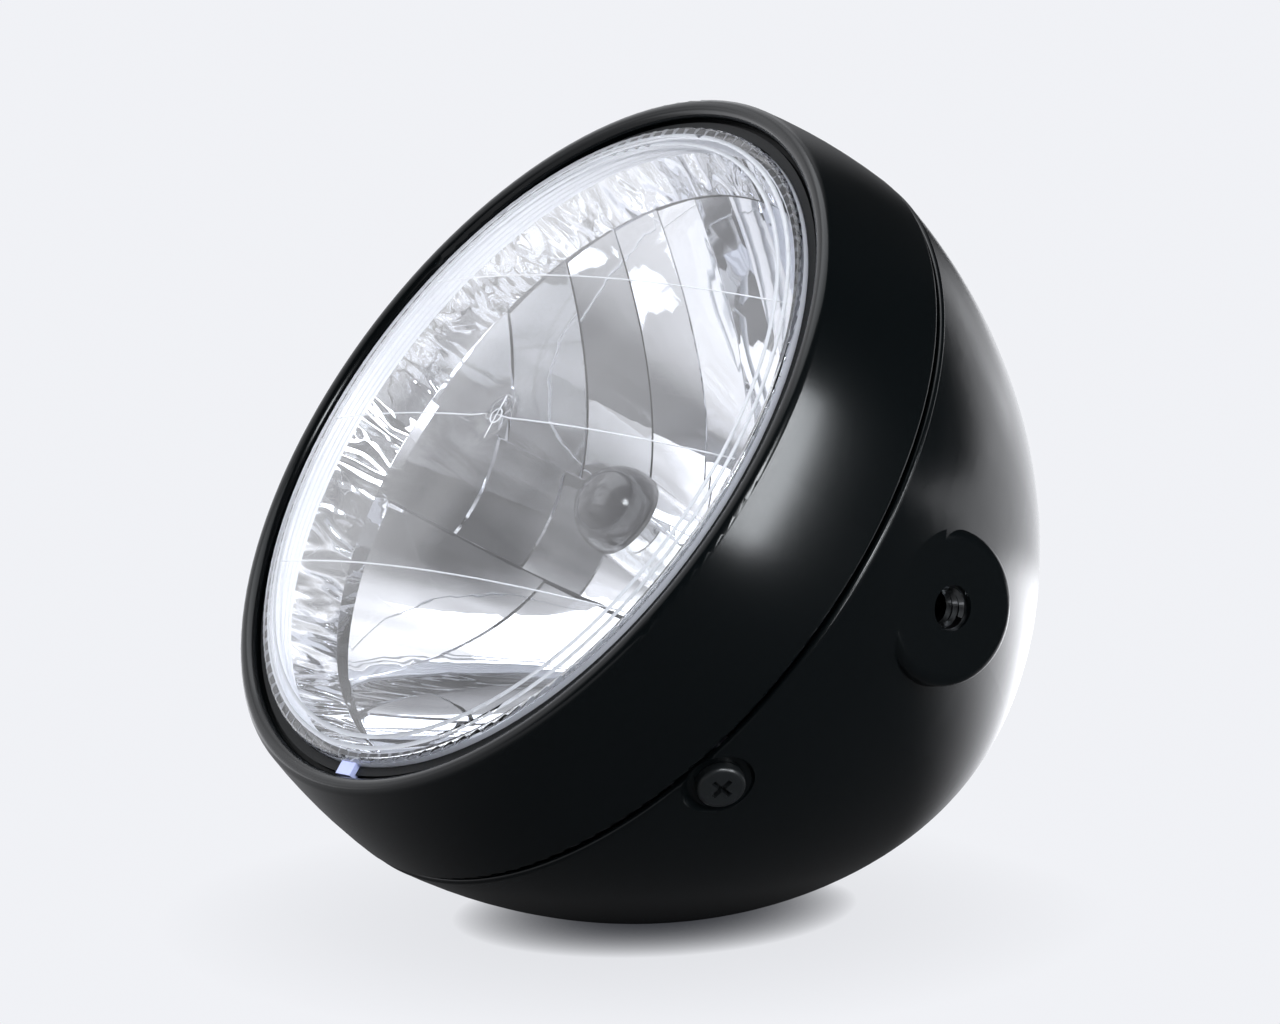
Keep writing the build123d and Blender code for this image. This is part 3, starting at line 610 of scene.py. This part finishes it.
def makeFloor(s):
    rise = math.radians(s["cameraHeight"])
    normal = (cameraUp * math.cos(rise) + cameraBack * math.sin(rise)).normalized()
    shells = [nodes[name].data.vertices for name in ("rear_shell", "front_rim")]
    lowest = min(normal.dot(vertex.co) for vertices in shells for vertex in vertices)
    half = s["size"] / 2
    near = cameraRight.cross(normal).normalized()
    square = ((-1, -1), (1, -1), (1, 1), (-1, 1))
    corners = [normal * lowest + cameraRight * a * half - near * b * half for a, b in square]
    mesh = bpy.data.meshes.new("floor")
    mesh.from_pydata(corners, [], [(0, 1, 2, 3)])
    if mesh.polygons[0].normal.dot(normal) < 0:
        mesh.flip_normals()
    floor = bpy.data.objects.new("floor", mesh)
    scene.collection.objects.link(floor)
    material, tree, shader, output = newMaterial("paleFloor")
    link = tree.links.new
    tree.nodes.remove(shader)
    matt = addNode(tree, "ShaderNodeBsdfDiffuse")
    matt.inputs["Color"].default_value = (*s["tone"], 1)

    def shadeWithin(reach):
        return setInputs(addNode(tree, "ShaderNodeAmbientOcclusion", samples=s["samples"]), Distance=reach)

    # painted contact shadow: ambient occlusion blends the floor's glow from its tone to the shade colour
    # near the lamp
    covered = shadeWithin(s["reach"])
    openness = addNode(tree, "ShaderNodeMath", operation="POWER")
    openness.inputs[1].default_value = s["hardness"]
    link(covered.outputs["AO"], openness.inputs[0])
    around = shadeWithin(s["wideReach"])
    faint = addNode(tree, "ShaderNodeMath", operation="MULTIPLY_ADD")
    faint.inputs[1].default_value = s["wideShare"]
    faint.inputs[2].default_value = 1.0 - s["wideShare"]
    link(around.outputs["AO"], faint.inputs[0])
    shaded = addNode(tree, "ShaderNodeMath", operation="MULTIPLY")
    link(openness.outputs[0], shaded.inputs[0])
    link(faint.outputs[0], shaded.inputs[1])
    paintedShadowColour = addNode(tree, "ShaderNodeMix", data_type="RGBA")
    paintedShadowColour.inputs["A"].default_value = (*s["shade"], 1)
    paintedShadowColour.inputs["B"].default_value = (*s["tone"], 1)
    link(shaded.outputs[0], paintedShadowColour.inputs["Factor"])
    glow = addNode(tree, "ShaderNodeEmission")
    link(paintedShadowColour.outputs["Result"], glow.inputs["Color"])
    rays = addNode(tree, "ShaderNodeLightPath")
    seen = addNode(tree, "ShaderNodeMath", operation="MAXIMUM")
    seenToo = addNode(tree, "ShaderNodeMath", operation="MAXIMUM")
    link(rays.outputs["Is Camera Ray"], seen.inputs[0])
    link(rays.outputs["Is Glossy Ray"], seen.inputs[1])
    link(seen.outputs[0], seenToo.inputs[0])
    link(rays.outputs["Is Transmission Ray"], seenToo.inputs[1])
    place = addNode(tree, "ShaderNodeNewGeometry")

    def fadeOver(span, low, high, **source):
        operation = "DISTANCE" if "centre" in source else "DOT_PRODUCT"
        reach = addNode(tree, "ShaderNodeVectorMath", operation=operation)
        reach.inputs[1].default_value = source.get("centre", source.get("axis"))
        link(place.outputs["Position"], reach.inputs[0])
        fade = addNode(tree, "ShaderNodeMapRange", interpolation_type="SMOOTHSTEP")
        setInputs(fade, From_Min=span[0], From_Max=span[1], To_Min=low, To_Max=high)
        link(reach.outputs["Value"], fade.inputs["Value"])
        return fade.outputs["Result"]

    patch = s["patch"]
    right, forward = patch["place"]
    middle = normal * lowest + cameraRight * right + near * forward
    mirrored = fadeOver(patch["span"], patch["strength"] + s["mirrored"], s["mirrored"], centre=middle)
    for axis, lit in ((-near, s["behind"]), (-cameraRight, s["left"])):
        both = addNode(tree, "ShaderNodeMath", operation="ADD")
        link(mirrored, both.inputs[0])
        link(fadeOver(lit["span"], 0.0, lit["strength"], axis=axis), both.inputs[1])
        mirrored = both.outputs[0]
    byLens = addNode(tree, "ShaderNodeMix", data_type="FLOAT")
    link(rays.outputs["Is Transmission Ray"], byLens.inputs["Factor"])
    link(mirrored, byLens.inputs["A"])
    link(fadeOver(s["clear"]["span"], *s["clear"]["strength"], axis=-near), byLens.inputs["B"])
    strength = addNode(tree, "ShaderNodeMix", data_type="FLOAT")
    link(rays.outputs["Is Camera Ray"], strength.inputs["Factor"])
    link(byLens.outputs["Result"], strength.inputs["A"])
    strength.inputs["B"].default_value = 1.0
    link(strength.outputs["Result"], glow.inputs["Strength"])
    show = addNode(tree, "ShaderNodeMixShader")
    link(seenToo.outputs[0], show.inputs["Fac"])
    link(matt.outputs["BSDF"], show.inputs[1])
    link(glow.outputs["Emission"], show.inputs[2])
    through = addNode(tree, "ShaderNodeBsdfTransparent")
    mix = addNode(tree, "ShaderNodeMixShader")
    link(place.outputs["Backfacing"], mix.inputs["Fac"])
    link(show.outputs["Shader"], mix.inputs[1])
    link(through.outputs["BSDF"], mix.inputs[2])
    link(mix.outputs["Shader"], output.inputs["Surface"])
    mesh.materials.append(material)
    return normal, near, normal * lowest


floorUp, stageNear, floorPoint = makeFloor(floorSettings)
print("floor laid")


# studio light: soft boxes round the lamp, placed right, near and up from its foot
lightTint = (0.92, 0.96, 1.0)
lightSettings = {
    "topBox": {"place": (-0.3, -0.1, 1.4), "size": (1.2, 1.0), "power": 7.0},
    "rightBox": {"place": (0.88, 0.82, 0.34), "size": (0.15, 1.0), "power": 12.0},
    "leftBox": {"place": (-1.0, 0.5, 0.9), "size": (0.9, 0.9), "power": 5.0, "mirrored": False},
    "frontBox": {"place": (0.42, 1.15, 0.75), "size": (0.4, 0.3), "power": 11.0},
}


def makeLights(settings):
    for name, s in settings.items():
        data = bpy.data.lights.new(name, "AREA")
        data.shape = "RECTANGLE"
        data.size, data.size_y = s["size"]
        data.energy = s["power"]
        data.color = lightTint
        light = bpy.data.objects.new(name, data)
        right, near, up = s["place"]
        light.location = floorPoint + cameraRight * right + stageNear * near + floorUp * up
        light.rotation_mode = "QUATERNION"
        light.rotation_quaternion = (floorPoint - light.location).to_track_quat("-Z", "Y")
        light.visible_glossy = s.get("mirrored", True)
        scene.collection.objects.link(light)


makeLights(lightSettings)


# world: in reflections pale on the left and low on the right behind the lamp, dim elsewhere
worldSettings = {
    "backdrop": (0.875, 0.885, 0.92),
    "ambient": 0.5,
    "dim": 0.03,
    "clutter": 5.0,  # scale of the uneven tones around the studio
    "clutterTones": (0.7, 1.3),
    "clutterSpan": (0.35, 0.65),
    "clutterDetail": 1.0,
    "lobes": {  # axis to the right, up and back of the camera, cosines from it, strength
        "left": {"axis": (-0.705, 0.536, -0.463), "span": (0.35, 0.8), "strength": 1.3},
        "right": {"axis": (0.6, -0.1, -0.8), "span": (0.88, 0.98), "strength": 2.0},
    },
    "clear": {  # seen by way of the lens
        "axis": (0.45, -0.1, 0.85), "span": (0.1, 0.6), "strength": (1.5, 0.08),
    },
}


def makeWorld(s):
    world = bpy.data.worlds.new("studio")
    scene.world = world
    world.use_nodes = True
    tree = world.node_tree
    tree.nodes.clear()
    link = tree.links.new
    place = addNode(tree, "ShaderNodeTexCoord")

    def fadeFrom(axis, span, low, high):
        right, up, back = axis
        facing = addNode(tree, "ShaderNodeVectorMath", operation="DOT_PRODUCT")
        toward = cameraRight * right + cameraUp * up + cameraBack * back
        facing.inputs[1].default_value = toward.normalized()
        link(place.outputs["Generated"], facing.inputs[0])
        fade = addNode(tree, "ShaderNodeMapRange", interpolation_type="SMOOTHSTEP")
        setInputs(fade, From_Min=span[0], From_Max=span[1], To_Min=low, To_Max=high)
        link(facing.outputs["Value"], fade.inputs["Value"])
        return fade.outputs["Result"]

    lit = [fadeFrom(lobe["axis"], lobe["span"], s["dim"], lobe["strength"]) for lobe in s["lobes"].values()]
    total = addNode(tree, "ShaderNodeMath", operation="MAXIMUM")
    link(lit[0], total.inputs[0])
    link(lit[1], total.inputs[1])
    rays = addNode(tree, "ShaderNodeLightPath")
    byLens = addNode(tree, "ShaderNodeMix", data_type="FLOAT")
    link(rays.outputs["Is Transmission Ray"], byLens.inputs["Factor"])
    link(total.outputs[0], byLens.inputs["A"])
    link(fadeFrom(s["clear"]["axis"], s["clear"]["span"], *s["clear"]["strength"]), byLens.inputs["B"])
    noise = setInputs(addNode(tree, "ShaderNodeTexNoise"), Scale=s["clutter"], Detail=s["clutterDetail"])
    link(place.outputs["Generated"], noise.inputs["Vector"])
    uneven = setInputs(
        addNode(tree, "ShaderNodeMapRange"),
        From_Min=s["clutterSpan"][0], From_Max=s["clutterSpan"][1],
        To_Min=s["clutterTones"][0], To_Max=s["clutterTones"][1],
    )
    link(noise.outputs["Fac"], uneven.inputs["Value"])
    around = addNode(tree, "ShaderNodeMath", operation="MULTIPLY")
    link(byLens.outputs["Result"], around.inputs[0])
    link(uneven.outputs["Result"], around.inputs[1])
    seen = addNode(tree, "ShaderNodeMath", operation="MAXIMUM")
    link(rays.outputs["Is Glossy Ray"], seen.inputs[0])
    link(rays.outputs["Is Transmission Ray"], seen.inputs[1])
    soft = addNode(tree, "ShaderNodeMix", data_type="FLOAT")
    soft.inputs["A"].default_value = s["ambient"]
    link(seen.outputs[0], soft.inputs["Factor"])
    link(around.outputs[0], soft.inputs["B"])
    strength = addNode(tree, "ShaderNodeMath", operation="MAXIMUM")
    link(rays.outputs["Is Camera Ray"], strength.inputs[0])
    link(soft.outputs["Result"], strength.inputs[1])
    background = addNode(tree, "ShaderNodeBackground")
    background.inputs["Color"].default_value = (*s["backdrop"], 1)
    link(strength.outputs[0], background.inputs["Strength"])
    output = addNode(tree, "ShaderNodeOutputWorld")
    link(background.outputs["Background"], output.inputs["Surface"])


makeWorld(worldSettings)
print("studio lit")
